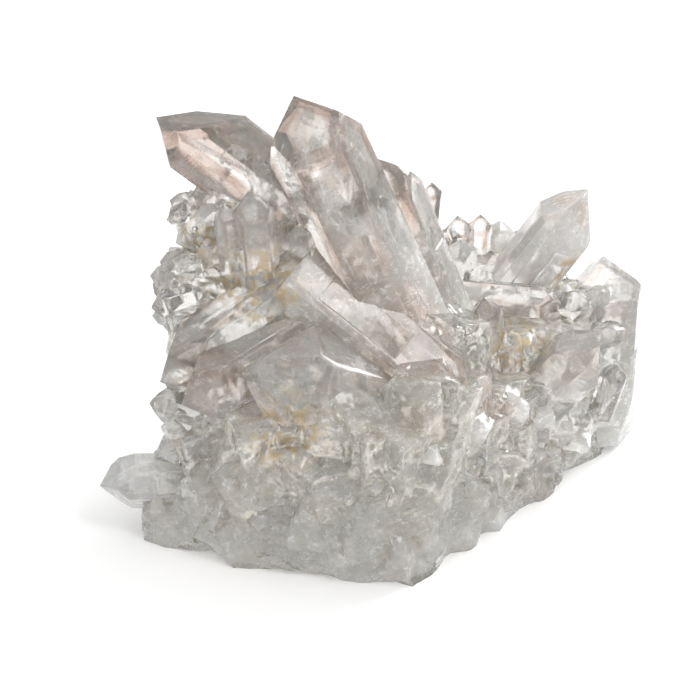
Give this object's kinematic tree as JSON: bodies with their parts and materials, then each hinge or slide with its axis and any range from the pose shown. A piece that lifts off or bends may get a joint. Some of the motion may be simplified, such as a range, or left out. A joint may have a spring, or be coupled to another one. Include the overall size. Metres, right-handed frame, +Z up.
{
  "type": "quartz crystal cluster",
  "caption": "Cluster of pointed, six-sided clear to milky quartz crystals grown together on a broken quartz base with a flat underside.",
  "frame": {"origin": "under the middle of the cluster, on the surface that it stands on", "axes": "+X to the right and +Y away from whoever faces the main point, +Z up"},
  "size_m": [0.1244, 0.0956, 0.0993],
  "materials": {
    "quartz": "vitreous, clear at the points and milky in the base, with faint warm brown tint and a little yellow-brown iron stain"
  },
  "bodies": {
    "root": {"quartz_cluster": "quartz"}
  },
  "joints": []
}
